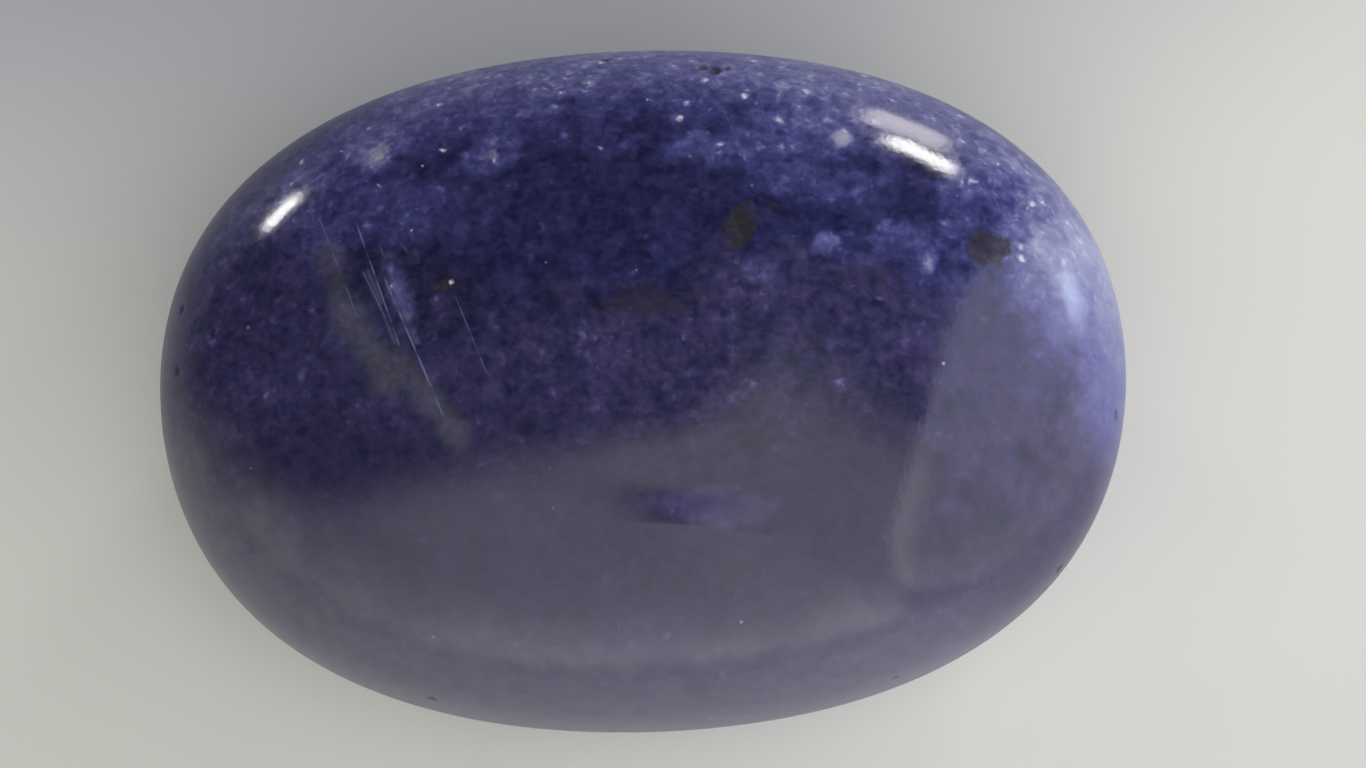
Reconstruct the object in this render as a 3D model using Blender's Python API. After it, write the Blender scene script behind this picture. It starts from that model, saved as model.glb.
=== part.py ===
# A polished oval lapis lazuli stone, lying on a small flat spot.
# Metres, +Z up. The origin is the middle of the underside, +X runs along the stone.

import math

import bmesh
import bpy
from mathutils import Vector

# Driving dimensions
LENGTH = 0.0500
WIDTH = 0.0356
CROWN_HEIGHT = 0.0108
BELLY_DEPTH = 0.0103
REST_LENGTH = 0.0190

# Form of the oval: 2 is an ellipse, more is fuller towards the corners
CROWN_FULLNESS = 2.60
BELLY_FULLNESS = 2.20
SHOULDER_SWELL = 0.020
NEAR_SIDE_TAPER = 0.0054

# Broad waves that hand polishing leaves on the crown: height, length, heading and phase
POLISH_WAVES = (
    (0.00009, 0.031, 0.35, 0.6),
    (0.00006, 0.021, 1.90, 2.2),
    (0.00003, 0.013, 1.10, 4.0),
)

# A slight facet that grinding left on the crown, hollow behind and with a low rim in front: centre,
# half length and half width, turn, height of the rim, and how far in half widths it runs out in front
FACET_CENTRE = (0.0031, -0.00865)
FACET_REACH = (0.0046, 0.00115)
FACET_TURN = -0.10
FACET_RISE = 0.00028
FACET_FALL = 2.2

# Faces along one edge of the cube that the oval is drawn out from
FACES_PER_EDGE = 28

STONE_COLOUR = (0.026, 0.026, 0.080, 1.0)
STONE_ROUGHNESS = 0.18
OBJECT_NAME = "PolishedLapisStone"
NODE_NAME = "lapis_stone"


def clear_scene():
    for item in list(bpy.data.objects):
        bpy.data.objects.remove(item, do_unlink=True)


def make_collection(name):
    group = bpy.data.collections.new(name)
    bpy.context.scene.collection.children.link(group)
    return group


def stone_material():
    material = bpy.data.materials.new("polished_lapis")
    material.use_nodes = True
    shader = material.node_tree.nodes["Principled BSDF"]
    shader.inputs["Base Color"].default_value = STONE_COLOUR
    shader.inputs["Roughness"].default_value = STONE_ROUGHNESS
    shader.inputs["Metallic"].default_value = 0.0
    material.diffuse_color = STONE_COLOUR
    return material


def swell(turn):
    # How far the outline stands outside a plain ellipse at this turn about Z
    shoulders = SHOULDER_SWELL * (1.0 - math.cos(4.0 * turn))
    return shoulders + NEAR_SIDE_TAPER * math.sin(3.0 * turn)


def polish_wave(x, y):
    # Height of the waves at x, y
    return sum(height * math.sin(math.tau * (x * math.cos(heading) + y * math.sin(heading)) / span + phase)
               for height, span, heading, phase in POLISH_WAVES)


def facet(x, y):
    # Height of the facet at x, y
    dx = x - FACET_CENTRE[0]
    dy = y - FACET_CENTRE[1]
    along = (dx * math.cos(FACET_TURN) + dy * math.sin(FACET_TURN)) / FACET_REACH[0]
    across = (dy * math.cos(FACET_TURN) - dx * math.sin(FACET_TURN)) / FACET_REACH[1]
    if across > 0.0:
        step = -across * math.exp(-across ** 2 / 2.0)
    elif across > -1.0:
        step = -across
    else:
        step = math.exp((across + 1.0) / FACET_FALL)
    return FACET_RISE * math.exp(-along ** 2) * step


def shaped(way):
    # Where a direction from the middle of the stone meets its surface
    turn = math.atan2(way.y, way.x)
    level = math.hypot(way.x, way.y)
    fullness = CROWN_FULLNESS if way.z > 0.0 else BELLY_FULLNESS
    height = CROWN_HEIGHT if way.z > 0.0 else BELLY_DEPTH
    scale = (level ** fullness + abs(way.z) ** fullness) ** (-1.0 / fullness)
    reach = level * scale
    outline = 1.0 + swell(turn) * reach ** 2
    point = Vector((
        0.5 * LENGTH * reach * outline * math.cos(turn),
        0.5 * WIDTH * reach * outline * math.sin(turn),
        height * way.z * scale,
    ))
    if way.z > 0.0:
        point.z += way.z * (polish_wave(point.x, point.y) + facet(point.x, point.y))
    return point


def rest_level():
    # Height, from the widest level, at which the belly is REST_LENGTH long
    share = REST_LENGTH / LENGTH
    return -BELLY_DEPTH * (1.0 - share ** BELLY_FULLNESS) ** (1.0 / BELLY_FULLNESS)


def make_stone(group):
    body = bmesh.new()
    bmesh.ops.create_cube(body, size=2.0)
    bmesh.ops.subdivide_edges(body, edges=body.edges[:], cuts=FACES_PER_EDGE - 1, use_grid_fill=True)
    for corner in body.verts:
        spread = Vector(math.tan(math.pi / 4.0 * value) for value in corner.co)
        corner.co = shaped(spread.normalized())

    # The flat spot on the underside
    floor_point = Vector((0.0, 0.0, rest_level()))
    everything = body.verts[:] + body.edges[:] + body.faces[:]
    cut = bmesh.ops.bisect_plane(body, geom=everything, dist=1e-7, plane_co=floor_point,
                                 plane_no=Vector((0.0, 0.0, 1.0)), clear_inner=True)
    rim = [piece for piece in cut["geom_cut"] if isinstance(piece, bmesh.types.BMEdge)]
    bmesh.ops.holes_fill(body, edges=rim, sides=0)
    bmesh.ops.recalc_face_normals(body, faces=body.faces[:])

    # Set down on that spot, with the middle of its length and width at the origin
    middle = [0.5 * (min(corner.co[axis] for corner in body.verts)
                     + max(corner.co[axis] for corner in body.verts)) for axis in (0, 1)]
    bmesh.ops.translate(body, verts=body.verts[:], vec=(-middle[0], -middle[1], -floor_point.z))

    mesh = bpy.data.meshes.new(NODE_NAME)
    body.to_mesh(mesh)
    body.free()
    mesh.shade_smooth()
    mesh.set_sharp_from_angle(angle=math.radians(30.0))
    mesh.materials.append(stone_material())
    stone = bpy.data.objects.new(NODE_NAME, mesh)
    group.objects.link(stone)
    return stone


clear_scene()
make_stone(make_collection(OBJECT_NAME))
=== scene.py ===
import math
import random

import bmesh
import bpy
from mathutils import Matrix, Vector, kdtree, noise


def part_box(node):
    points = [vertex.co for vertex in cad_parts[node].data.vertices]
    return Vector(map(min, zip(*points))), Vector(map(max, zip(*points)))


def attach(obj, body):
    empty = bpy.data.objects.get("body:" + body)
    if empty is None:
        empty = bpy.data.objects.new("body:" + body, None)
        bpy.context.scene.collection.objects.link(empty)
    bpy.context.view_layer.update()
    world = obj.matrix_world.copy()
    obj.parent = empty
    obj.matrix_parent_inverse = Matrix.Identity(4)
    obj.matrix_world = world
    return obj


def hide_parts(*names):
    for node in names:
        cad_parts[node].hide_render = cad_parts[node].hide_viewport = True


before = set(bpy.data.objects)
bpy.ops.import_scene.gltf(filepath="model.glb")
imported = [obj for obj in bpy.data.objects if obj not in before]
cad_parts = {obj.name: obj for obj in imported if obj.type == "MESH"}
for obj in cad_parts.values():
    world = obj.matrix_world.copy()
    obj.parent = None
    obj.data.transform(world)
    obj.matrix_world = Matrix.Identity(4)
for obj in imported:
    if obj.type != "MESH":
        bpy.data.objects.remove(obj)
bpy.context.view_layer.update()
mm = 0.001

# The stone's form. Length, width and thickness come from the frame
stoneForm = {
    "node": "lapis_stone",
    "crownShare": 0.5237,      # height of the crown over the widest level, by the thickness
    "bellyShare": 0.4995,      # depth of the full belly under it
    "restShare": 0.38,         # length of the flat spot, by the stone's length
    "crownFullness": 2.60,     # 2 is an ellipse, more is fuller
    "bellyFullness": 2.20,
    "shoulderSwell": 0.020,
    "nearSideTaper": 0.0054,
    "facesPerEdge": 112,       # of the cube that the stone is drawn out from
    "quickFacesPerEdge": 40,
    "finerReach": 0.030,       # radius of the finer faces round a pit, on a ball of radius 1
    "finerCuts": 2,
    "cutSnap": 1e-7,           # corners this near the flat spot's plane count as on it (m)
}

# Waves of hand polishing on the crown: height, length (mm), heading, phase
polishWaves = [
    (0.09, 31.0, 0.35, 0.6),
    (0.06, 21.0, 1.90, 2.2),
    (0.03, 13.0, 1.10, 4.0),
]

# A slight facet that grinding left on the crown (mm): hollow behind, with a low proud rim in front
facet = {
    "centre": (3.1, -8.65),
    "reach": (4.6, 1.15),      # half length and half width
    "turn": -0.10,
    "rise": 0.28,              # height of the rim
    "fall": 2.2,               # how far in half widths the rim runs out in front
    "rimSteps": 12,            # finer faces follow the rim in this many steps each way
    "rimReach": 1.2,           # and this many half lengths far
}

# Small pits that the polish doesn't reach (mm): place on the crown, radius and depth. The scattered ones lie
# round the sides, between these heights on a ball of radius 1
pits = {
    "placed": [
        (3.6, 15.05, 0.30, 0.10),
        (4.2, 14.85, 0.40, 0.16),
        (4.8, 15.0, 0.26, 0.09),
        (-1.4, 15.9, 0.26, 0.08),
        (19.6, 7.0, 0.24, 0.07),
    ],
    "scattered": 26,
    "between": (-0.75, 0.45),
    "radius": (0.14, 0.30),
    "depth": (0.03, 0.08),
    "seed": 11,
    "reach": 1.5,              # how far from its middle a pit is looked for, by its radius
    "ragged": (0.35, 2.5),     # share of the radius that wanders, and waves to a millimetre
    "bowl": 0.7,               # under 1 the bottom is flatter
    "fadeFrom": (0.5, 1.5),    # no pits in the flat spot
    "darkReach": 1.2,          # how far out a pit is dark, by its radius, and over what share it fades
    "darkSoft": 0.5,
    "darkDepth": 0.10,         # a pit this deep is fully dark
}

# Uneven hardness of the grains, left as a faint skin on the polish: size and height (mm)
skin = {
    "waves": [
        (2.6, 0.0050),
        (0.9, 0.0030),
    ],
    "shift": (7.3, 1.1, 4.2),
    "fadeFrom": (0.1, 1.4),    # none on the flat spot
}


def makeStoneSizes():
    low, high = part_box(stoneForm["node"])
    size = high - low
    sizes = {
        "low": low,
        "middle": (low + high) / 2,
        "halfLength": size.x / 2,
        "halfWidth": size.y / 2,
        "crown": stoneForm["crownShare"] * size.z,
        "belly": stoneForm["bellyShare"] * size.z,
    }
    fullness = stoneForm["bellyFullness"]
    share = 1 - stoneForm["restShare"] ** fullness
    sizes["restLevel"] = -sizes["belly"] * share ** (1 / fullness)
    return sizes


sizes = makeStoneSizes()


def smooth(value, low, high):
    # 0 at low, 1 at high, with soft ends
    t = min(max((value - low) / (high - low), 0.0), 1.0)
    return t * t * (3 - 2 * t)


def facetRise(x, y):
    # Height of the facet over the plain crown, mm in and out
    dx = x - facet["centre"][0]
    dy = y - facet["centre"][1]
    along = (dx * math.cos(facet["turn"]) + dy * math.sin(facet["turn"])) / facet["reach"][0]
    across = (dy * math.cos(facet["turn"]) - dx * math.sin(facet["turn"])) / facet["reach"][1]
    if across > 0:
        step = -across * math.exp(-across ** 2 / 2)
    elif across > -1:
        step = -across
    else:
        step = math.exp((across + 1) / facet["fall"])
    return facet["rise"] * math.exp(-along ** 2) * step


def polishRise(x, y):
    # Height of the polished waves and the facet over the plain crown, mm in and out
    waves = 0.0
    for height, span, heading, phase in polishWaves:
        along = x * math.cos(heading) + y * math.sin(heading)
        waves += height * math.sin(math.tau * along / span + phase)
    return waves + facetRise(x, y)


def swell(turn):
    # How far the outline stands outside a plain ellipse at this turn about Z
    shoulders = stoneForm["shoulderSwell"] * (1 - math.cos(4 * turn))
    return shoulders + stoneForm["nearSideTaper"] * math.sin(3 * turn)


def stonePoint(way):
    # Where a direction from the middle of the widest level meets the surface
    turn = math.atan2(way.y, way.x)
    level = math.hypot(way.x, way.y)
    onCrown = way.z > 0
    fullness = stoneForm["crownFullness"] if onCrown else stoneForm["bellyFullness"]
    height = sizes["crown"] if onCrown else sizes["belly"]
    scale = (level ** fullness + abs(way.z) ** fullness) ** (-1 / fullness)
    reach = level * scale
    outline = 1 + swell(turn) * reach ** 2
    point = Vector((
        sizes["halfLength"] * reach * outline * math.cos(turn),
        sizes["halfWidth"] * reach * outline * math.sin(turn),
        height * way.z * scale,
    ))
    if onCrown:
        point.z += way.z * polishRise(point.x / mm, point.y / mm) * mm
    return point


def direction(turn, lift):
    return Vector((
        math.cos(math.radians(turn)) * math.cos(math.radians(lift)),
        math.sin(math.radians(turn)) * math.cos(math.radians(lift)),
        math.sin(math.radians(lift)),
    ))


def wayToCrown(x, y):
    # The direction in which stonePoint meets the crown over x, y (mm)
    flat = Vector((x * mm / sizes["halfLength"], y * mm / sizes["halfWidth"]))
    turn = math.atan2(flat.y, flat.x)
    reach = flat.length
    for step in range(4):
        reach = flat.length / (1 + swell(turn) * reach ** 2)
    fullness = stoneForm["crownFullness"]
    climb = (reach ** -fullness - 1) ** (1 / fullness)
    return Vector((math.cos(turn), math.sin(turn), climb)).normalized()


def allPits():
    # Direction, radius and depth of every pit
    rng = random.Random(pits["seed"])
    found = [(wayToCrown(x, y), radius, depth) for x, y, radius, depth in pits["placed"]]
    for number in range(pits["scattered"]):
        lift = math.degrees(math.asin(rng.uniform(*pits["between"])))
        way = direction(rng.uniform(-180, 180), lift)
        found.append((way, rng.uniform(*pits["radius"]), rng.uniform(*pits["depth"])))
    return found


def facetRim():
    # Directions along the facet's rim, where its fold needs finer faces
    lean = facet["turn"]
    steps = facet["rimSteps"]
    found = []
    for number in range(-steps, steps + 1):
        along = number / steps * facet["rimReach"] * facet["reach"][0]
        across = -facet["reach"][1]
        x = facet["centre"][0] + along * math.cos(lean) - across * math.sin(lean)
        y = facet["centre"][1] + along * math.sin(lean) + across * math.cos(lean)
        found.append(wayToCrown(x, y))
    return found


def sphereMesh(faces):
    # A cube drawn out into an even ball of quads
    body = bmesh.new()
    bmesh.ops.create_cube(body, size=2)
    bmesh.ops.subdivide_edges(body, edges=body.edges[:], cuts=faces - 1, use_grid_fill=True)
    for corner in body.verts:
        spread = Vector([math.tan(math.pi / 4 * value) for value in corner.co])
        corner.co = spread.normalized()
    return body


def refineAround(body, ways):
    # Finer faces round these directions
    near = set()
    tree = kdtree.KDTree(len(body.verts))
    for corner in body.verts:
        tree.insert(corner.co, corner.index)
    tree.balance()
    body.verts.ensure_lookup_table()
    for way in ways:
        near.update(index for place, index, off in tree.find_range(way, stoneForm["finerReach"]))
    edges = [edge for edge in body.edges if edge.verts[0].index in near and edge.verts[1].index in near]
    bmesh.ops.subdivide_edges(body, edges=edges, cuts=stoneForm["finerCuts"], use_grid_fill=True)
    for corner in body.verts:
        corner.co.normalize()


def cutRestSpot(body):
    floorPoint = Vector((0, 0, sizes["restLevel"]))
    everything = body.verts[:] + body.edges[:] + body.faces[:]
    cut = bmesh.ops.bisect_plane(body, geom=everything, dist=stoneForm["cutSnap"], plane_co=floorPoint,
                                 plane_no=Vector((0, 0, 1)), clear_inner=True)
    rim = [item for item in cut["geom_cut"] if isinstance(item, bmesh.types.BMEdge)]
    bmesh.ops.holes_fill(body, edges=rim, sides=0)
    bmesh.ops.recalc_face_normals(body, faces=body.faces[:])


def settle(body):
    # The stone's box is moved onto the frame's, middle to middle and down to its lowest level
    corners = [[corner.co[axis] for corner in body.verts] for axis in (0, 1, 2)]
    shift = Vector((
        sizes["middle"].x - (min(corners[0]) + max(corners[0])) / 2,
        sizes["middle"].y - (min(corners[1]) + max(corners[1])) / 2,
        sizes["low"].z - min(corners[2]),
    ))
    bmesh.ops.translate(body, verts=body.verts[:], vec=shift)
    return shift


def addRelief(body, centres):
    # The skin of the polish over all of the stone, and then the pits
    body.normal_update()
    tree = kdtree.KDTree(len(body.verts))
    offsets = []
    for number, corner in enumerate(body.verts):
        place = corner.co / mm
        rise = 0.0
        for span, height in skin["waves"]:
            rise += height * noise.noise(place / span + Vector(skin["shift"]) * span)
        offsets.append(rise * smooth(place.z, *skin["fadeFrom"]))
        tree.insert(corner.co, number)
    tree.balance()
    share, pace = pits["ragged"]
    for centre, radius, depth in centres:
        for place, number, off in tree.find_range(centre, pits["reach"] * radius * mm):
            edge = radius * (1 + share * noise.noise(place / mm * pace))
            bowl = max(0.0, 1 - (off / mm / edge) ** 2)
            offsets[number] -= depth * bowl ** pits["bowl"] * smooth(place.z / mm, *pits["fadeFrom"])
    for number, corner in enumerate(body.verts):
        corner.co += corner.normal * offsets[number] * mm


# Ragged borders of what is painted on the stone: how far each noise moves them, and its waves to a millimetre
borders = {
    "tone": [(0.45, 0.45), (0.30, 1.1)],
    "plum": [(1.3, 0.35), (0.6, 1.0)],
    "patch": [(0.55, 0.9), (0.40, 2.1)],
    "scuff": [(0.35, 0.8), (0.25, 2.0)],
    "grey": [(0.05, 0.5)],
}

# Heights between which the belly's paint gives way to the crown's (mm)
crownFrom = (6.0, 9.7)

# How light the rock is, 0 to 1: the ground, and spots painted over it in turn, seen from above (mm):
# x, y, half length, half width, turn and lightness
tone = {
    "ground": 0.09,
    "groundRagged": 0.04,
    "under": 0.14,             # the belly's ground, and how far a broad drift and the ragged noise lift it
    "underDrift": 0.30,
    "underRagged": 0.05,
    "driftPace": 0.10,
    "driftShift": (3.0, 8.0, 1.0),
    "driftOctaves": (0.8, 2.0, 4),     # how fast they weaken, how much finer each is, and how many
    "driftFrom": (0.0, 0.7),
    "spotReach": 1.3,
    "spotSoft": 0.75,
    "edgeRagged": 0.07,
    "edgeDrift": 0.04,
    "edgeUnder": 0.35,         # how strongly the pale layer shows under the stone
    "spots": [
        (0.0, -10.0, 24.0, 9.0, 0.0, 0.16),
        (0.0, -1.2, 15.0, 3.8, 0.03, 0.20),
        (-19.0, 1.0, 4.5, 7.0, 0.0, 0.19),
        (-16.0, 6.0, 3.0, 2.4, 0.6, 0.26),
        (11.0, 1.8, 6.0, 4.0, 0.15, 0.27),
        (-12.0, 7.3, 4.5, 1.8, 0.1, 0.27),
        (7.5, 9.9, 5.0, 1.5, 0.0, 0.41),
        (-1.5, 10.6, 2.2, 0.9, 0.0, 0.24),
        (17.5, -1.0, 4.0, 8.0, 0.0, 0.31),
        (5.6, 3.0, 2.2, 1.1, 0.25, 0.33),
        (13.4, 4.5, 1.9, 1.5, 0.0, 0.40),
        (18.2, 7.0, 3.2, 3.4, -0.7, 0.38),
        (17.6, 6.0, 0.8, 0.8, 0.0, 0.30),
        (9.5, 7.9, 3.6, 1.3, 0.0, 0.33),
        (20.5, 2.5, 2.2, 3.0, 0.0, 0.55),
        (-7.6, 9.9, 2.1, 1.1, 0.4, 0.42),
        (-12.9, 10.9, 1.5, 1.1, 0.7, 0.55),
        (-19.8, -1.0, 0.9, 1.4, 0.2, 0.26),
        (9.3, 4.5, 0.7, 0.6, 0.0, 0.55),
        (14.5, 3.6, 0.5, 0.8, 0.0, 0.66),
        (9.4, 10.9, 3.0, 1.0, -0.25, 0.49),
        (-11.9, 2.6, 0.6, 1.9, 0.30, 0.44),
        (-13.2, 10.9, 1.8, 1.2, 0.5, 0.60),
        # Partly pale calcite, partly a painted highlight next to the right lamp's
        (10.5, 10.5, 0.6, 0.7, 0.0, 0.92),
        (3.2, -8.7, 3.4, 0.9, -0.10, 0.36),
        (-15.0, -8.0, 6.0, 5.0, 0.0, 0.13),
        (10.8, 1.6, 3.6, 2.6, 0.2, 0.22),
        (19.3, 5.2, 2.2, 0.9, 0.25, 0.62),
        (20.4, 4.9, 0.8, 0.6, 0.25, 0.92),
        (21.3, 4.4, 0.9, 1.4, 0.0, 0.84),
    ],
}

# Pale layer along the far edge and the right end, partly pale calcite and partly a painted sheen for the
# rim's reflection of the bright room: turn (degrees), lightness, and the share of the way out from which and
# to which it comes in
paleEdgeAndSheen = [
    (-180, 0.16, 0.85, 1.02),
    (-140, 0.26, 0.76, 1.00),
    (-90, 0.34, 0.72, 0.98),
    (-55, 0.42, 0.76, 1.00),
    (-42, 0.22, 0.78, 1.02),
    (-26, 0.24, 0.78, 1.02),
    (-12, 0.58, 0.74, 0.96),
    (18, 0.86, 0.76, 0.94),
    (32, 0.66, 0.76, 0.96),
    (44, 0.60, 0.74, 0.96),
    (65, 0.67, 0.60, 0.86),
    (90, 0.60, 0.52, 0.84),
    (115, 0.57, 0.60, 0.88),
    (145, 0.54, 0.68, 0.94),
    (168, 0.34, 0.80, 1.00),
    (180, 0.16, 0.85, 1.02),
]

# Darker outside that layer along the far left edge, the rock's own darker navy with a painted shade over it:
# turns at its ends (degrees), and the share of the way out from which and to which it comes in
darkEdgeAndShade = {
    "from": (114.0, 128.0),
    "to": (162.0, 176.0),
    "reach": (0.86, 0.96),
    "ragged": 0.04,
    "strength": 0.45,
}

# The line, seen from above, below which the rock turns from navy to plum (mm)
plumLine = [
    (-30.0, 6.5),
    (-12.0, 6.0),
    (-6.0, 2.5),
    (-1.0, 2.8),
    (4.0, 4.6),
    (10.0, 4.2),
    (16.0, 2.0),
    (30.0, 1.0),
]

# How strong the plum is on each side of that line, and where it comes in (mm)
plum = {
    "atLine": 0.72,
    "lineSoft": (-1.0, 1.0),
    "nearHalf": 0.28,
    "nearFrom": (2.0, 7.0),
    "leftEnd": 0.55,
    "leftFrom": (14.0, 18.0),
    "underPace": 0.08,
    "underShift": (9.0, 2.0, 5.0),
    "underRagged": 0.12,
    "underFrom": (-0.25, 0.35),
}

# Patches on the crown, in mm: x, y, half length, half width, turn, strength
patches = {
    "cloud": [
        (-13.0, 10.9, 0.66, 0.80, 0.0, 1.0),
        (-7.3, 9.8, 1.1, 0.7, 0.4, 0.55),
        # Partly pale calcite, partly a painted highlight next to the right lamp's
        (10.5, 10.4, 0.5, 0.5, 0.0, 1.0),
        (20.2, 5.0, 0.8, 0.5, 0.5, 0.6),
    ],
    "brown": [
        (0.5, 1.7, 3.0, 0.9, 0.12, 0.9),
        (-5.0, 6.4, 2.2, 0.8, 0.2, 0.35),
        (11.5, 2.6, 2.4, 0.7, 0.2, 0.5),
    ],
    "gold": [
        (5.2, 5.6, 1.9, 0.85, 0.62, 1.0),
        (17.5, 4.5, 1.3, 0.8, 0.15, 1.0),
        (-22.7, 0.4, 0.40, 0.30, 0.0, 0.8),
        (-9.9, 3.0, 0.75, 0.35, 0.1, 0.85),
    ],
}

# How far out a patch ends, by its own size, and over what share it fades: on the crown and elsewhere
patchReach = {"crown": (1.45, 1.1), "under": (1.3, 0.9)}

# The same minerals round the sides and under the stone: places in mm with a reach
underPatches = {
    "gold": [
        (-8.0, -12.0, 4.0, 1.3),
        (13.0, -6.0, 2.4, 1.6),
        (3.0, 15.0, 6.0, 1.2),
        (-16.0, 6.0, 3.5, 1.1),
    ],
    "cloud": [
        (9.0, 9.0, 2.5, 2.2),
        (-14.0, -8.0, 3.5, 1.8),
        (-2.0, -13.0, 3.0, 1.5),
    ],
    "brown": [
        (4.0, -9.0, 2.0, 3.0),
    ],
}

# Worn streak in the polish on the crown: stretches of it, from end to end, half width and strength (mm)
scuffs = {
    "stretches": [
        ((-15.6, 5.4), (-14.6, 1.6), 0.65, 0.75),
        ((-14.6, 2.0), (-12.6, -1.6), 0.85, 1.00),
        ((-12.2, -0.6), (-9.2, -4.6), 0.80, 0.85),
    ],
    "reach": 1.5,              # by the half width
    "soft": 1.4,
    "above": (16, 17.5),       # heights between which it comes in
}

# Where the grain hardly shows: the near half of the crown and its right end (mm)
calm = {"nearFrom": (-2.5, -7.5), "rightFrom": (12.0, 16.0), "rightBelow": (5.0, 0.0)}

# Painted grey sheen along the near edge, for the near rim's reflection of the bright room: turns at its
# ends (degrees), and the share of the way out at which it comes in
greySheenEdge = {
    "from": (-180.0, -164.0),
    "to": (-65.0, -25.0),
    "reach": (0.74, 0.97),
    "under": 0.4,
}


def along(points, value):
    # Straight lines between listed points: the first number of each is where it stands
    for before, after in zip(points, points[1:]):
        if value <= after[0]:
            share = (value - before[0]) / (after[0] - before[0])
            return [low + (high - low) * share for low, high in zip(before[1:], after[1:])]
    return list(points[-1][1:])


def spotOff(place, x, y, halfLength, halfWidth, turn):
    # 0 in the middle of an oval spot, 1 on its edge
    dx = place.x - x
    dy = place.y - y
    lengthways = (dx * math.cos(turn) + dy * math.sin(turn)) / halfLength
    across = (dy * math.cos(turn) - dx * math.sin(turn)) / halfWidth
    return math.hypot(lengthways, across)


def border(name, place):
    return sum(height * noise.noise(place * pace) for height, pace in borders[name])


def toneLevel(place, turn, reach, above):
    # Lightness of the rock here, with a painted sheen along parts of the rim and a painted shade on the far
    # left edge. above is 1 on the crown and 0 under the stone
    ragged = border("tone", place)
    driftPlace = place * tone["driftPace"] + Vector(tone["driftShift"])
    drift = noise.fractal(driftPlace, *tone["driftOctaves"])
    level = tone["ground"] + tone["groundRagged"] * ragged
    for x, y, halfLength, halfWidth, lean, light in tone["spots"]:
        off = spotOff(place, x, y, halfLength, halfWidth, lean)
        inside = smooth(tone["spotReach"] + ragged - off, 0.0, tone["spotSoft"])
        level += inside * (light - level)
    under = tone["under"] + tone["underDrift"] * smooth(drift, *tone["driftFrom"])
    under += tone["underRagged"] * ragged
    level = under + above * (level - under)
    # The pale layer: partly pale calcite, partly a painted sheen along the rim
    light, inner, outer = along(paleEdgeAndSheen, turn)
    edge = smooth(reach + tone["edgeRagged"] * ragged + tone["edgeDrift"] * drift, inner, outer)
    edge *= tone["edgeUnder"] + (1 - tone["edgeUnder"]) * above
    level += edge * max(light - level, 0.0)
    # Painted shade, over the rock's own darker navy, along the far left edge
    sideways = smooth(turn, *darkEdgeAndShade["from"]) * (1 - smooth(turn, *darkEdgeAndShade["to"]))
    dark = sideways * smooth(reach + darkEdgeAndShade["ragged"] * ragged, *darkEdgeAndShade["reach"])
    return level * (1 - darkEdgeAndShade["strength"] * dark)


def plumLevel(place, above):
    # How far the rock has turned from navy to plum
    ragged = border("plum", place)
    line = along(plumLine, place.x)[0]
    crown = plum["atLine"] * smooth(line - place.y + ragged, *plum["lineSoft"])
    crown += plum["nearHalf"] * smooth(-place.y + ragged, *plum["nearFrom"])
    crown = max(crown, plum["leftEnd"] * smooth(-place.x + ragged, *plum["leftFrom"]))
    drift = noise.noise(place * plum["underPace"] + Vector(plum["underShift"])) + plum["underRagged"] * ragged
    return above * crown + (1 - above) * smooth(drift, *plum["underFrom"])


def patchLevel(name, place, above):
    # How strongly a mineral shows here, from the patches listed for it
    found = 0.0
    ragged = border("patch", place)
    ends, soft = patchReach["crown"]
    for x, y, halfLength, halfWidth, turn, strength in patches[name]:
        off = spotOff(place, x, y, halfLength, halfWidth, turn)
        found = max(found, above * strength * smooth(ends + ragged - off, 0.0, soft))
    ends, soft = patchReach["under"]
    for x, y, z, reach in underPatches[name]:
        off = (place - Vector((x, y, z))).length / reach
        found = max(found, smooth(ends + ragged - off, 0.0, soft))
    return found


def scuffLevel(place):
    found = 0.0
    ragged = border("scuff", place)
    for start, end, halfWidth, strength in scuffs["stretches"]:
        run = Vector(end) - Vector(start)
        off = Vector(place[:2]) - Vector(start)
        share = min(max(off.dot(run) / run.length_squared, 0), 1)
        away = (off - run * share).length
        found = max(found, strength * smooth(scuffs["reach"] + ragged - away / halfWidth, 0, scuffs["soft"]))
    return smooth(place.z, *scuffs["above"]) * found


def calmLevel(place, above):
    near = smooth(-place.y, -calm["nearFrom"][0], -calm["nearFrom"][1])
    right = smooth(place.x, *calm["rightFrom"])
    right *= smooth(-place.y, -calm["rightBelow"][0], -calm["rightBelow"][1])
    return above * max(near, right)


def greySheenLevel(place, turn, reach, above):
    # How strongly the painted grey sheen of the near rim shows here
    sideways = smooth(turn, *greySheenEdge["from"]) * smooth(-turn, -greySheenEdge["to"][1], -greySheenEdge["to"][0])
    here = greySheenEdge["under"] + (1 - greySheenEdge["under"]) * above
    return here * sideways * smooth(reach + border("grey", place), *greySheenEdge["reach"])


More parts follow.
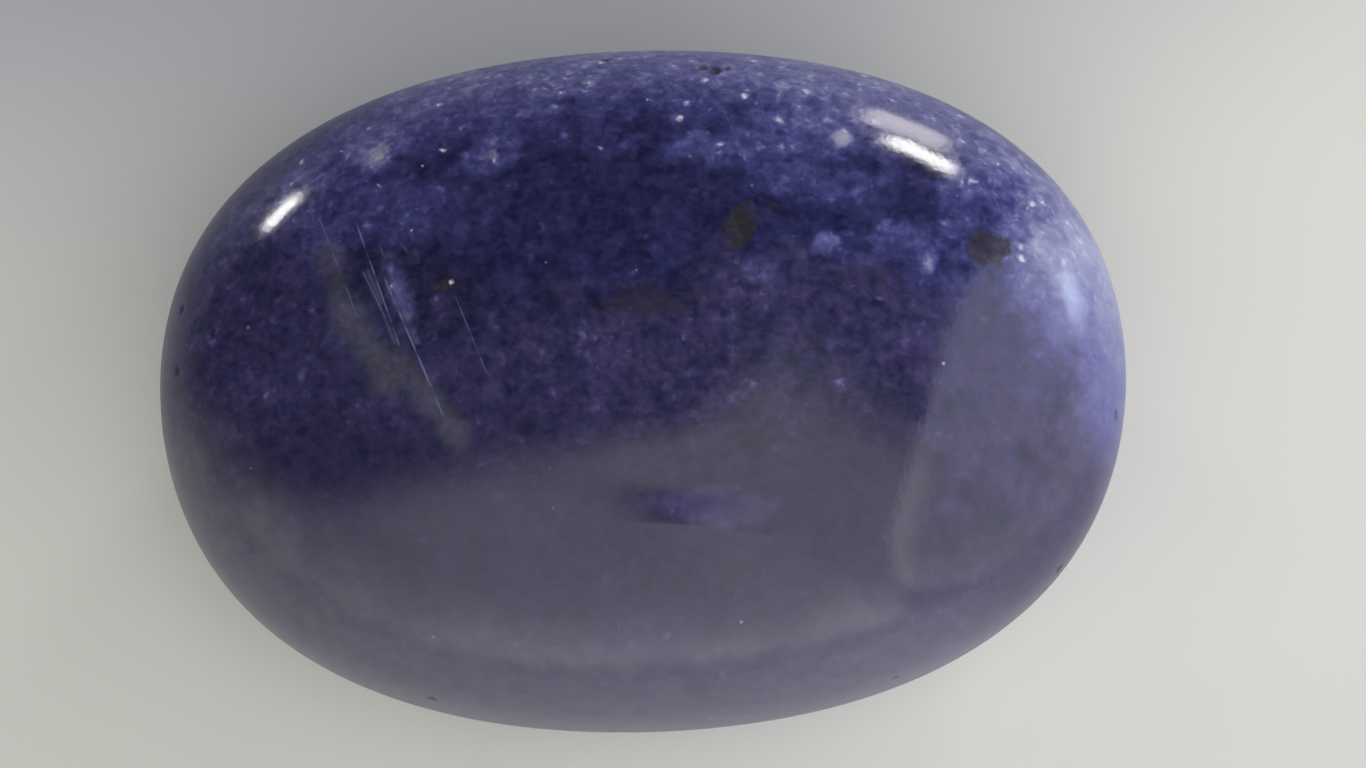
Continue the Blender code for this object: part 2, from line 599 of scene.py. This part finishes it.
def addColourFields(mesh, shift, centres):
    # Point attributes that the material mixes its colours by
    fields = {name: [] for name in ("tone", "plum", "cloud", "brown", "gold", "scuff", "calm", "grey", "pit")}
    for corner in mesh.vertices:
        place = corner.co / mm
        own = corner.co - shift
        flat = Vector((own.x / sizes["halfLength"], own.y / sizes["halfWidth"]))
        turn = math.degrees(math.atan2(flat.y, flat.x))
        above = smooth(place.z, *crownFrom)
        fields["tone"].append(toneLevel(place, turn, flat.length, above))
        fields["plum"].append(plumLevel(place, above))
        for name in ("cloud", "brown", "gold"):
            fields[name].append(patchLevel(name, place, above))
        fields["scuff"].append(scuffLevel(place))
        fields["calm"].append(calmLevel(place, above))
        fields["grey"].append(greySheenLevel(place, turn, flat.length, above))
        fields["pit"].append(0.0)
    tree = kdtree.KDTree(len(mesh.vertices))
    for corner in mesh.vertices:
        tree.insert(corner.co, corner.index)
    tree.balance()
    for centre, radius, depth in centres:
        for place, number, off in tree.find_range(centre, pits["darkReach"] * radius * mm):
            dark = smooth(pits["darkReach"] - off / mm / radius, 0.0, pits["darkSoft"])
            dark *= min(depth / pits["darkDepth"], 1.0)
            fields["pit"][number] = max(fields["pit"][number], dark)
    for name, values in fields.items():
        mesh.attributes.new(name, "FLOAT", "POINT").data.foreach_set("value", values)


def makeStone():
    faces = stoneForm["facesPerEdge"]
    body = sphereMesh(faces)
    pitList = allPits()
    refineAround(body, [way for way, radius, depth in pitList] + facetRim())
    for corner in body.verts:
        corner.co = stonePoint(corner.co)
    cutRestSpot(body)
    shift = settle(body)
    centres = [(stonePoint(way) + shift, radius, depth) for way, radius, depth in pitList]
    addRelief(body, centres)
    mesh = bpy.data.meshes.new("polishedStone")
    body.to_mesh(mesh)
    body.free()
    mesh.shade_smooth()
    addColourFields(mesh, shift, centres)
    stone = bpy.data.objects.new("polishedStone", mesh)
    bpy.context.scene.collection.objects.link(stone)
    print("stone:", len(mesh.polygons), "faces")
    return stone


def fillRamp(ramp, stops):
    while len(ramp.elements) < len(stops):
        ramp.elements.new(1.0)
    for element, (position, colour) in zip(ramp.elements, stops):
        element.position = position
        element.color = (*colour, 1)


class Wire:
    # A socket of a material. Arithmetic on wires adds Math nodes, so 1 - mask works

    def __init__(self, tree, socket):
        self.tree = tree
        self.socket = socket

    def node(self, kind, settings, sockets, output=0):
        made = self.tree.nodes.new(kind)
        for name, value in settings.items():
            if name == "stops":
                fillRamp(made.color_ramp, value)
            else:
                setattr(made, name, value)
        for name, value in sockets.items():
            if isinstance(value, Wire):
                self.tree.links.new(value.socket, made.inputs[name])
            else:
                made.inputs[name].default_value = value
        return Wire(self.tree, made.outputs[output])

    def maths(self, operation, first, second=0.0):
        return self.node("ShaderNodeMath", {"operation": operation}, {0: first, 1: second})

    def __add__(self, other):
        return self.maths("ADD", self, other)

    __radd__ = __add__

    def __sub__(self, other):
        return self.maths("SUBTRACT", self, other)

    def __rsub__(self, other):
        return self.maths("SUBTRACT", other, self)

    def __mul__(self, other):
        return self.maths("MULTIPLY", self, other)

    __rmul__ = __mul__

    def larger(self, other):
        return self.maths("MAXIMUM", self, other)

    def rise(self, low, high):
        # 0 below low, 1 above high, with soft ends
        return self.node("ShaderNodeMapRange", {"interpolation_type": "SMOOTHSTEP"},
                         {"Value": self, "From Min": low, "From Max": high})

    def ramp(self, stops):
        return self.node("ShaderNodeValToRGB", {"stops": stops}, {"Fac": self})

    def blend(self, first, second, how="MIX"):
        # Colour going from first to second as this wire goes from 0 to 1
        return self.node("ShaderNodeMix", {"data_type": "RGBA", "blend_type": how},
                         {0: self, 6: first, 7: second}, 2)

    def field(self, name):
        return self.node("ShaderNodeAttribute", {"attribute_name": name}, {}, "Fac")

    def moved(self, operation, *others):
        # Vector Math on this wire
        sockets = {0: self}
        for number, other in enumerate(others):
            sockets[number + 1] = other
        return self.node("ShaderNodeVectorMath", {"operation": operation}, sockets)

    def clouds(self, size, detail=3.0, rough=0.55, output="Fac"):
        # Noise whose blobs are about this many millimetres wide
        sockets = {"Vector": self, "Scale": 1 / size, "Detail": detail, "Roughness": rough}
        return self.node("ShaderNodeTexNoise", {}, sockets, output)

    def grains(self, size, output="Distance"):
        sockets = {"Vector": self, "Scale": 1 / size}
        return self.node("ShaderNodeTexVoronoi", {"feature": "F1"}, sockets, output)

    def channel(self, name):
        return self.node("ShaderNodeSeparateColor", {}, {"Color": self}, name)

    def axis(self, name):
        return self.node("ShaderNodeSeparateXYZ", {}, {0: self}, name)


def placeInMm(tree):
    start = Wire(tree, tree.nodes.new("ShaderNodeTexCoord").outputs["Object"])
    return start.moved("MULTIPLY", [1 / mm] * 3)


# From the darkest rock to the palest, by lightness
lapisTones = [
    (0.00, (0.011, 0.012, 0.055)),
    (0.10, (0.021, 0.022, 0.088)),
    (0.22, (0.035, 0.035, 0.134)),
    (0.35, (0.056, 0.055, 0.200)),
    (0.50, (0.089, 0.087, 0.280)),
    (0.65, (0.143, 0.140, 0.362)),
    (0.80, (0.250, 0.254, 0.470)),
    (0.90, (0.350, 0.360, 0.580)),
    (1.00, (0.590, 0.600, 0.830)),
]

lapisColours = {
    "plumTint": (1.10, 0.92, 0.73, 1),
    # painted grey sheen of the near rim
    "grey": (0.125, 0.118, 0.150, 1),
    "cloud": (0.380, 0.380, 0.520, 1),
    "brown": (0.032, 0.026, 0.042, 1),
    "gold": (0.030, 0.027, 0.028, 1),
    "goldGrain": (0.050, 0.046, 0.038, 1),
    "brass": (0.100, 0.085, 0.055, 1),
    "pit": (0.022, 0.016, 0.040, 1),
    "speck": (0.860, 0.860, 1.000, 1),
    "scratch": (0.180, 0.185, 0.360, 1),
    "worn": (0.112, 0.114, 0.145, 1),
}

# The grain of the rock. Sizes are in mm
lapisGrain = {
    "push": {"size": 0.7, "amount": 0.7},              # how far the borders of the grains wander
    "broad": 2.6,
    "middling": 0.95,
    "fine": 0.36,
    "coarseGrain": 0.80,
    "fineGrain": 0.42,
    "mottle": (0.35, 0.50, 0.36, 0.42, 0.36),          # strength of each of the five above
    "mottleBase": 0.45,                                # mottling of the darkest rock
    "mottleRise": 1.3,                                 # and how it grows with the lightness
    "grainNoise": (1, 0.4),                            # octaves of the grains' noise, and their roughness
    "dots": [(0.85, "Green", 0.60), (0.48, "Blue", 0.38)],     # size, which draw, and strength
    "dotEdge": (0.02, 0.42),                           # by the cell
    "dotDraw": (0.35, 0.95),
    "dotBase": 0.22,
    "dotRise": 2.0,
    "clumps": (0.40, 0.60),
    "palest": (0.45, 0.90),                            # the palest rock is evener
    "palestEven": 0.8,
    "palestDots": (0.50, 0.85),
    "palestFewer": 0.6,
    "calmEven": 0.65,
}

# How strongly each mineral covers the rock under it, and the shares between which it comes in. The swings
# are how far the noises move its border
lapisCover = {
    "plum": (0.0, 1.0),
    "plumSwings": (1.2, 0.6),
    "plumUpTo": (0.30, 0.62),
    "grey": 0.55,
    "greySheenLeast": 0.5,
    "cloud": 0.85,
    "cloudSwings": (0.8, 1.0),
    "cloudFrom": (0.15, 1.3),
    "cloudField": (0.0, 0.3),
    "brown": 0.55,
    "brownSwings": (1.6, 0.8),
    "brownFrom": (0.35, 1.0),
    "gold": 0.80,
    "goldSwings": (1.4, 0.9),
    "goldFrom": (0.10, 0.95),
    "goldField": (0.08, 0.40),
    "goldGrain": (0.48, 0.62),
    "brassSize": 0.16,         # size in mm
    "brassInGold": 0.20,
    "brassFrom": (1.10, 1.18),
    "brassMetal": 0.6,
    "scratch": 0.75,
    "scratchGaps": 0.9,        # size in mm
    "scratchBroken": (0.34, 0.60),
    "worn": 0.55,
    "wornLeast": 0.35,
    "wornGrain": (0.7, 0.5),
    "pit": 0.8,
}

# The sprinkling of tiny bright crystals: one in some of the cells of this size (mm)
sparks = {
    "cell": 1.5,
    "shift": (3.1, 7.7, 1.9),
    "radius": 0.10,            # by the cell
    "smaller": 0.035,
    "moreInPale": 0.28,
    "from": (0.82, 1.15),
    "strength": 0.6,
}

# Undercut grains and scratches in the polish: size (mm) and share of the depth (m)
relief = {
    "cells": (0.27, 0.6),
    "waves": (0.36, 0.8),
    "grit": (0.16, 0.5),
    "scratches": 2.5,
    "depth": 0.0000020,
}

# Roughness of the polish, and what is added to it. Round the girdle the polish is duller (heights in mm)
lapisGloss = {
    "ior": 1.5,
    "polished": 0.09,
    "uneven": 0.08,
    "paleGrains": 0.06,
    "worn": 0.10,
    "scratch": 0.25,
    "pit": 0.45,
    "girdle": 0.24,
    "girdleFrom": (14.2, 17.6),
}

# What is drawn on the crown: the heights between which it comes in (mm), how far out a crystal fades, by its
# radius, and from where to where a scratch does, by its half width
drawn = {
    "from": (9, 11),
    "speckReach": 1.9,
    "scratchEdge": (0.3, 1.8),
}

# Bright crystals on the crown, in mm: x, y, radius and strength
specks = [
    (5.6, 13.1, 0.17, 1.0),
    (2.3, 11.7, 0.14, 0.8),
    (0.7, 12.9, 0.08, 0.6),
    (-9.7, 10.6, 0.10, 0.9),
    (-14.9, 11.2, 0.07, 0.6),
    (-10.8, 9.7, 0.07, 0.6),
    (-12.9, 8.8, 0.10, 0.4),
    (-7.1, 9.8, 0.12, 0.4),
    (-11.3, 6.1, 0.08, 0.6),
    (-9.4, 3.2, 0.09, 0.8),
    (-12.3, 3.3, 0.08, 0.6),
    (-1.7, 10.0, 0.12, 0.35),
]

# Scratches in the polish on the crown, from end to end, half width and strength (mm)
scratches = [
    ((-16.0, 7.3), (-14.1, 1.8), 0.035, 0.55),
    ((-14.1, 6.8), (-12.0, 0.1), 0.040, 0.85),
    ((-13.9, 4.4), (-12.4, 0.9), 0.035, 0.60),
    ((-12.9, 5.4), (-11.3, 1.0), 0.030, 0.50),
    ((-12.7, 3.7), (-9.9, -3.6), 0.045, 1.00),
    ((-9.4, 3.1), (-7.7, -1.6), 0.030, 0.55),
    ((-12.2, 6.0), (-11.4, 4.8), 0.050, 0.35),
    ((-13.7, 4.6), (-12.9, 2.4), 0.110, 0.34),
    ((-12.2, 3.2), (-11.1, 0.2), 0.150, 0.50),
    ((-12.5, 4.2), (-11.9, 2.6), 0.090, 0.36),
    ((-13.0, 2.4), (-12.2, 0.2), 0.080, 0.34),
]


def scratchLine(place, start, end, halfWidth, strength):
    # 1 on the line and 0 off it, seen from above
    run = Vector(end) - Vector(start)
    flat = place.moved("MULTIPLY", (1, 1, 0))
    off = flat.moved("SUBTRACT", (start[0], start[1], 0))
    perRun = (run.x / run.length_squared, run.y / run.length_squared, 0)
    share = off.node("ShaderNodeVectorMath", {"operation": "DOT_PRODUCT"}, {0: off, 1: perRun}, "Value")
    held = share.node("ShaderNodeClamp", {}, {"Value": share})
    foot = off.node("ShaderNodeVectorMath", {"operation": "SCALE"}, {0: (run.x, run.y, 0), "Scale": held})
    away = off.node("ShaderNodeVectorMath", {"operation": "DISTANCE"}, {0: off, 1: foot}, "Value")
    inner, outer = drawn["scratchEdge"]
    return strength * (1 - away.rise(halfWidth * inner, halfWidth * outer))


def speckDot(place, x, y, radius, strength):
    # 1 in the middle of a bright crystal, seen from above, and ragged round its edge
    flat = place.moved("MULTIPLY", (1, 1, 0))
    away = flat.node("ShaderNodeVectorMath", {"operation": "DISTANCE"}, {0: flat, 1: (x, y, 0)}, "Value")
    near = 1 - away.rise(0.0, radius * drawn["speckReach"])
    return strength * near * near


def added(wires):
    # The sum of several wires
    total = wires[0]
    for wire in wires[1:]:
        total = total + wire
    return total


def swings(layers, amounts):
    # The sum of noises that go as far below 0 as above it, each by its own amount
    return added([(layer - 0.5) * amount for layer, amount in zip(layers, amounts)])


def joined(wires):
    # The largest of several wires
    found = wires[0]
    for wire in wires[1:]:
        found = found.larger(wire)
    return found


def softDots(place, size, channel):
    # Blurred grains in some of the cells, brighter in some than in others
    away = place.grains(size)
    draw = place.grains(size, "Color").channel(channel)
    return (1 - away.rise(*lapisGrain["dotEdge"])) * draw.rise(*lapisGrain["dotDraw"])


def lapisMaterial():
    material = bpy.data.materials.new("polishedLapis")
    material.use_nodes = True
    tree = material.node_tree
    shader = tree.nodes["Principled BSDF"]
    place = placeInMm(tree)
    paint = lapisColours
    grain = lapisGrain
    cover = lapisCover
    base = place.field("tone")

    # Grain borders wander, so the grains are laid out on a pushed place
    push = place.clouds(grain["push"]["size"], 2, output="Color").moved("SUBTRACT", (0.5, 0.5, 0.5))
    warped = place.moved("ADD", push.moved("MULTIPLY", [grain["push"]["amount"]] * 3))
    broad = place.clouds(grain["broad"], 2)
    middling = warped.clouds(grain["middling"], 2)
    fine = warped.clouds(grain["fine"], 2, 0.6)
    coarseGrain = warped.clouds(grain["coarseGrain"], *grain["grainNoise"], "Color")
    fineGrain = warped.clouds(grain["fineGrain"], *grain["grainNoise"], "Color")

    # Mottling round the lightness that the field gives, stronger where the rock is pale
    layers = [broad, middling, fine, coarseGrain.channel("Red"), fineGrain.channel("Red")]
    mottle = swings(layers, grain["mottle"])
    dots = added([softDots(warped, size, channel) * amount for size, channel, amount in grain["dots"]])
    clumps = ((broad + middling) * 0.5).rise(*grain["clumps"])
    even = 1 - base.rise(*grain["palest"]) * grain["palestEven"]
    even = even * (1 - place.field("calm") * grain["calmEven"])
    strength = (base * grain["mottleRise"] + grain["mottleBase"]) * even
    dotStrength = base * grain["dotRise"] + grain["dotBase"]
    dotStrength = dotStrength * (1 - base.rise(*grain["palestDots"]) * grain["palestFewer"])
    level = base + mottle * strength + dots * clumps * dotStrength * even
    colour = level.ramp(lapisTones)
    plumShare = (place.field("plum") + swings([middling, fine], cover["plumSwings"])).rise(*cover["plum"])
    plumShare = plumShare * (1 - level.rise(*cover["plumUpTo"]))
    colour = plumShare.blend(colour, paint["plumTint"], "MULTIPLY")
    # Painted grey sheen along the near rim, for its reflection of the room
    greySheenShare = place.field("grey") * (cover["greySheenLeast"] + middling)
    colour = (greySheenShare * cover["grey"]).blend(colour, paint["grey"])

    # Whitish clouds of calcite, one of them partly a painted highlight, browner rock, and dull gold patches
    # broken into grains
    cloudField = place.field("cloud")
    cloud = (cloudField + swings([middling, fine], cover["cloudSwings"])).rise(*cover["cloudFrom"])
    cloud = cloud * cloudField.rise(*cover["cloudField"])
    colour = (cloud * cover["cloud"]).blend(colour, paint["cloud"])
    brown = (place.field("brown") + swings([middling, fine], cover["brownSwings"])).rise(*cover["brownFrom"])
    colour = (brown * cover["brown"]).blend(colour, paint["brown"])
    goldField = place.field("gold")
    goldShare = goldField + swings([fine, fineGrain.channel("Blue")], cover["goldSwings"])
    gold = goldShare.rise(*cover["goldFrom"]) * goldField.rise(*cover["goldField"])
    goldGrain = (coarseGrain.channel("Green") + fineGrain.channel("Green")) * 0.5
    goldGrain = goldGrain.rise(*cover["goldGrain"])
    colour = (gold * cover["gold"]).blend(colour, goldGrain.blend(paint["gold"], paint["goldGrain"]))
    brassDraw = warped.grains(cover["brassSize"], "Color").channel("Green")
    brass = (brassDraw + gold * cover["brassInGold"]).rise(*cover["brassFrom"])
    colour = brass.blend(colour, paint["brass"])

    # Tiny bright crystals: the ones that catch the eye, and a sprinkling over all of the stone
    above = place.axis("Z").rise(*drawn["from"])
    placedSpecks = joined([speckDot(warped, *entry) for entry in specks]) * above
    sparkPlace = place.moved("ADD", sparks["shift"])
    sparkDraw = sparkPlace.grains(sparks["cell"], "Color")
    sparkAway = sparkPlace.grains(sparks["cell"]) + sparkDraw.channel("Blue") * sparks["smaller"]
    sparkHere = (sparkDraw.channel("Red") + base * sparks["moreInPale"]).rise(*sparks["from"])
    spark = (1 - sparkAway.rise(0.0, sparks["radius"])) * sparkHere
    glint = placedSpecks.larger(spark * sparks["strength"])
    colour = glint.blend(colour, paint["speck"])

    # Scratches, the worn streak and the pits
    broken = place.clouds(cover["scratchGaps"], 2).rise(*cover["scratchBroken"])
    lines = joined([scratchLine(place, *entry) for entry in scratches]) * above * broken
    colour = (lines * cover["scratch"]).blend(colour, paint["scratch"])
    fineWear, grainWear = cover["wornGrain"]
    wear = cover["wornLeast"] + fine * fineWear + fineGrain.channel("Red") * grainWear
    worn = place.field("scuff") * wear
    colour = (worn * cover["worn"]).blend(colour, paint["worn"])
    pit = place.field("pit")
    colour = (pit * cover["pit"]).blend(colour, paint["pit"])

    gloss = lapisGloss
    girdle = 1 - place.axis("Z").rise(*gloss["girdleFrom"])
    dullness = gloss["polished"] + (fine - 0.5) * gloss["uneven"] + level * gloss["paleGrains"]
    dullness = dullness + girdle * gloss["girdle"] + worn * gloss["worn"]
    dullness = dullness + lines * gloss["scratch"] + pit * gloss["pit"]
    tree.links.new(colour.socket, shader.inputs["Base Color"])
    tree.links.new(dullness.socket, shader.inputs["Roughness"])
    tree.links.new((brass * cover["brassMetal"]).socket, shader.inputs["Metallic"])
    shader.inputs["IOR"].default_value = gloss["ior"]

    cells = place.grains(relief["cells"][0]) * relief["cells"][1]
    waves = place.clouds(relief["waves"][0], 1) * relief["waves"][1]
    grit = place.clouds(relief["grit"][0], 1) * relief["grit"][1]
    surface = cells + waves + grit - lines * relief["scratches"]
    sockets = {"Height": surface, "Strength": 1.0, "Distance": relief["depth"]}
    bump = surface.node("ShaderNodeBump", {}, sockets, "Normal")
    tree.links.new(bump.socket, shader.inputs["Normal"])
    return material


# A pale floor with faint dim patches (mm), and a painted shade behind the stone that makes it darker
# and bluer there
floorLook = {
    "size": 3.0,               # m
    "colour": (0.80, 0.80, 0.79, 1),
    "dim": (0.76, 0.76, 0.76, 1),
    "patch": 40.0,
    "patchFrom": (0.3, 0.7),
    # colour of the painted shade behind the stone, and where it comes in (mm)
    "far": (0.34, 0.36, 0.46, 1),
    "farShadeFrom": (0.0, 42.0),
    "farShadeSlant": 0.4,           # it starts further back to the right
    "roughness": 0.6,
}


def makeFloor():
    body = bmesh.new()
    bmesh.ops.create_grid(body, x_segments=4, y_segments=4, size=floorLook["size"] / 2)
    mesh = bpy.data.meshes.new("paleFloor")
    body.to_mesh(mesh)
    body.free()
    floor = bpy.data.objects.new("paleFloor", mesh)
    bpy.context.scene.collection.objects.link(floor)
    material = bpy.data.materials.new("paleCard")
    material.use_nodes = True
    tree = material.node_tree
    shader = tree.nodes["Principled BSDF"]
    place = placeInMm(tree)
    patchy = place.clouds(floorLook["patch"], 2).rise(*floorLook["patchFrom"])
    colour = patchy.blend(floorLook["colour"], floorLook["dim"])
    # Painted shade: the floor darker and bluer behind the stone
    slant = floorLook["farShadeSlant"] * place.axis("X").larger(0.0)
    far = (place.axis("Y") - slant).rise(*floorLook["farShadeFrom"])
    colour = far.blend(colour, floorLook["far"])
    tree.links.new(colour.socket, shader.inputs["Base Color"])
    shader.inputs["Roughness"].default_value = floorLook["roughness"]
    mesh.materials.append(material)


# The room: a white tent in front of the stone and over its near half, dim behind. Its edge overhead runs
# where the direction's y is edgeAt + edgeSlope * x, with a hump and then a fall to the right. Down at the
# horizon both sides near the floor's brightness
tent = {
    "light": (1.30, 1.28, 1.17),
    "dim": (0.050, 0.054, 0.066),
    "edgeAt": 0.0,
    "edgeSlope": 0.42,
    "edgeFrom": -0.55,
    "hump": 0.12,
    "humpFrom": (0.0, 0.13),
    "fall": 1.3,
    "fallFrom": 0.17,
    "softness": 0.14,
    "rightEnd": (0.49, 0.58),  # x of the direction past which there is no tent
    "nearGain": 0.38,          # how much brighter it is well inside its edge
    "nearFrom": (0.30, 1.0),
    "horizon": (0.0, 0.22),
    "horizonShare": 0.40,      # share of its brightness that is left at the horizon
    "horizonGlow": 0.17,       # share of its light that the dim side has there
    "leftFrom": (0.30, 0.75),
    "leftShade": 0.40,         # how much dimmer the left is
}

# A round white reflector that stands to the right of the stone (m)
sidePanel = {
    "place": (0.150, -0.047, 0.134),
    "width": 0.300,
    "height": 0.268,
    "radiance": 1.38,
    "colour": (0.97, 1.0, 0.95),
}

# Small lamps behind the stone, this far from it (m): turn, lift, width and height as it sees them (degrees),
# radiance and colour
backLamps = {
    "distance": 0.60,
    "lamps": {
        "leftLamp": (131.3, 14.5, 6.8, 5.6, 24, (1.0, 0.985, 0.93)),
        "rightLamp": (60.0, 18.9, 9.8, 6.4, 21, (1.0, 0.99, 0.94)),
        "rightLowLamp": (64.0, 8.0, 10.5, 12, 7.5, (1.0, 0.95, 0.89)),
        "blueLamp": (22.5, 5.6, 7.5, 12.5, 12, (0.66, 0.78, 1.0)),
    },
}


def addLamp(name, shape, place, towards, width, height, radiance, colour):
    data = bpy.data.lights.new(name, "AREA")
    data.shape = shape
    data.size = width
    data.size_y = height
    area = width * height * (math.pi / 4 if shape == "ELLIPSE" else 1)
    data.energy = radiance * math.pi * area
    data.color = colour
    lamp = bpy.data.objects.new(name, data)
    lamp.location = place
    lamp.rotation_euler = (towards - place).to_track_quat("-Z", "Y").to_euler()
    lamp.visible_camera = False
    bpy.context.scene.collection.objects.link(lamp)


def makeTent():
    world = bpy.data.worlds.new("tent")
    world.use_nodes = True
    tree = world.node_tree
    way = Wire(tree, tree.nodes.new("ShaderNodeTexCoord").outputs["Generated"])
    x = way.axis("X")
    edge = tent["edgeAt"] + tent["edgeSlope"] * x.larger(tent["edgeFrom"])
    edge = edge + tent["hump"] * x.rise(*tent["humpFrom"])
    inside = edge - tent["fall"] * (x - tent["fallFrom"]).larger(0.0) - way.axis("Y")
    share = inside.rise(-tent["softness"], tent["softness"]) * (1 - x.rise(*tent["rightEnd"]))
    low = 1 - way.axis("Z").rise(*tent["horizon"])
    colour = share.blend((*tent["dim"], 1), (*tent["light"], 1))
    colour = (low * (1 - share) * tent["horizonGlow"]).blend(colour, (*tent["light"], 1))
    nearLight = 1 + inside.rise(*tent["nearFrom"]) * tent["nearGain"]
    leftShade = 1 - (0 - x).rise(*tent["leftFrom"]) * tent["leftShade"]
    brightness = nearLight * leftShade * (1 - low * share * (1 - tent["horizonShare"]))
    tree.links.new(colour.socket, tree.nodes["Background"].inputs["Color"])
    tree.links.new(brightness.socket, tree.nodes["Background"].inputs["Strength"])
    bpy.context.scene.world = world


def makeLights():
    makeTent()
    place = Vector(sidePanel["place"])
    addLamp("sidePanel", "ELLIPSE", place, place - Vector((1, 0, 0)), sidePanel["width"], sidePanel["height"],
            sidePanel["radiance"], sidePanel["colour"])
    stoneMiddle = Vector((0, 0, -sizes["restLevel"]))
    far = backLamps["distance"]
    for name, (turn, lift, wide, tall, radiance, colour) in backLamps["lamps"].items():
        place = stoneMiddle + direction(turn, lift) * far
        width = 2 * far * math.tan(math.radians(wide / 2))
        height = 2 * far * math.tan(math.radians(tall / 2))
        addLamp(name, "RECTANGLE", place, stoneMiddle, width, height, radiance, colour)


# The camera looks down on the stone: turn and lift (degrees), lens (mm), distance (m), and the pixel
# of the 1366 by 768 frame that the middle of the stone falls on
cameraSetup = {
    "turn": 2.1,
    "lift": 75.0,
    "lens": 100.0,
    "distance": 0.1974,
    "clipStart": 0.01,
    "frame": (1366, 768),
    "stoneAt": (643.9, 390.9),
}


def makeCamera():
    turn = math.radians(cameraSetup["turn"])
    lift = math.radians(cameraSetup["lift"])
    ahead = Vector((math.sin(turn) * math.cos(lift), math.cos(turn) * math.cos(lift), -math.sin(lift)))
    right = Vector((math.cos(turn), -math.sin(turn), 0))
    up = right.cross(ahead)
    data = bpy.data.cameras.new("photoView")
    data.lens = cameraSetup["lens"]
    wide, tall = cameraSetup["frame"]
    perPixel = cameraSetup["distance"] * data.sensor_width / data.lens / wide
    aside = (cameraSetup["stoneAt"][0] - wide / 2) * perPixel
    above = (tall / 2 - cameraSetup["stoneAt"][1]) * perPixel
    middle = Vector((0, 0, -sizes["restLevel"]))
    camera = bpy.data.objects.new("photoView", data)
    place = middle - ahead * cameraSetup["distance"] - right * aside - up * above
    camera.matrix_world = Matrix.Translation(place) @ Matrix((right, up, -ahead)).transposed().to_4x4()
    data.clip_start = cameraSetup["clipStart"]
    bpy.context.scene.collection.objects.link(camera)
    bpy.context.scene.camera = camera


stone = makeStone()
stone.data.materials.append(lapisMaterial())
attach(stone, "root")
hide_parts(stoneForm["node"])
print("stone: material made")
makeFloor()
makeLights()
makeCamera()
bpy.context.scene.view_settings.view_transform = "Standard"
print("room: floor, lights and camera made")
